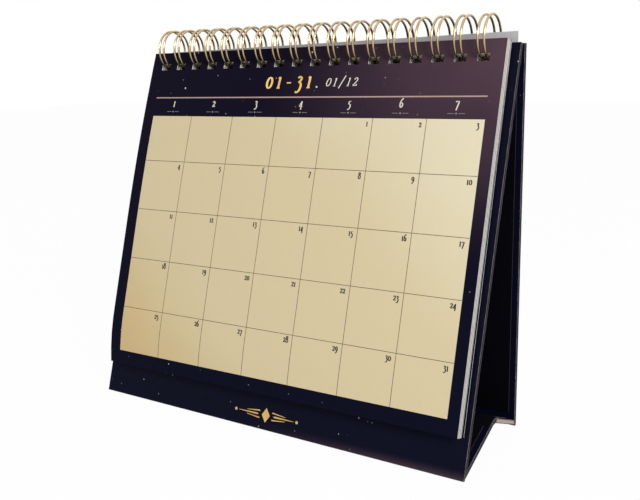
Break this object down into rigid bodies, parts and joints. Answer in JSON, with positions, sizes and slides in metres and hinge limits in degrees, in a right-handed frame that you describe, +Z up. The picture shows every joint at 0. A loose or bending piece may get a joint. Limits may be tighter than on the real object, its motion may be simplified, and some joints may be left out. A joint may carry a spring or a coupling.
{
  "type": "desk calendar",
  "caption": "Desk calendar: punched month sheets on a twin-loop wire, carried by a folding easel of wrapped boards.",
  "frame": {"origin": "on the table, below the middle of the bounding box", "axes": "+Z up, -Y towards the reader, +X to the reader's right"},
  "size_m": [0.213, 0.0679, 0.1949],
  "materials": {
    "wrap_paper": "satin",
    "lining_paper": "matte",
    "grey_board": "raw pressed board",
    "printed_sheet": "satin",
    "plain_sheet": "matte",
    "gold_wire": "polished"
  },
  "bodies": {
    "root": {"front_board_wrap": "wrap_paper", "front_board_core": "grey_board", "front_board_lining": "lining_paper", "wire_comb": "gold_wire"},
    "rear_panel": {"rear_board_wrap": "wrap_paper", "rear_board_core": "grey_board", "rear_board_lining": "lining_paper"},
    "long_base_panel": {"long_base_wrap": "wrap_paper", "long_base_core": "grey_board", "long_base_lining": "lining_paper"},
    "short_base_panel": {"short_base_wrap": "wrap_paper", "short_base_core": "grey_board", "short_base_lining": "lining_paper"},
    "page_block": {"page_02": "printed_sheet", "page_03": "printed_sheet", "page_04": "printed_sheet", "page_05": "printed_sheet", "page_06": "printed_sheet", "page_07": "printed_sheet", "page_08": "printed_sheet", "page_09": "printed_sheet", "page_10": "printed_sheet", "page_11": "printed_sheet", "page_12": "printed_sheet", "back_sheet": "plain_sheet"},
    "front_page": {"page_01": "printed_sheet"},
    "turned_cover": {"cover_sheet": "printed_sheet"}
  },
  "joints": [
    {"name": "easel_close", "type": "hinge", "parent": "root", "child": "rear_panel", "pos_m": [0, 0.02314, 0.18419], "axis": [-1, 0, 0], "range_deg": [0, 14]},
    {"name": "long_base_fold", "type": "hinge", "parent": "root", "child": "long_base_panel", "pos_m": [0, -0.02977, 0.00424], "axis": [1, 0, 0], "range_deg": [0, 51.18]},
    {"name": "short_base_fold", "type": "hinge", "parent": "rear_panel", "child": "short_base_panel", "pos_m": [0, 0.02855, 0.00396], "axis": [-1, 0, 0], "range_deg": [0, 65.47]},
    {"name": "block_lift", "type": "hinge", "parent": "root", "child": "page_block", "pos_m": [0, 0.02314, 0.18419], "axis": [-1, 0, 0], "range_deg": [0, 30]},
    {"name": "page_turn", "type": "hinge", "parent": "page_block", "child": "front_page", "pos_m": [0, 0.02314, 0.18419], "axis": [-1, 0, 0], "range_deg": [0, 135]},
    {"name": "cover_lift", "type": "hinge", "parent": "rear_panel", "child": "turned_cover", "pos_m": [0, 0.02314, 0.18419], "axis": [1, 0, 0], "range_deg": [0, 45]}
  ],
  "couplings": [
    {"joint": "long_base_fold", "follows": "easel_close", "ratio": 3.6553},
    {"joint": "short_base_fold", "follows": "easel_close", "ratio": 4.6758}
  ]
}
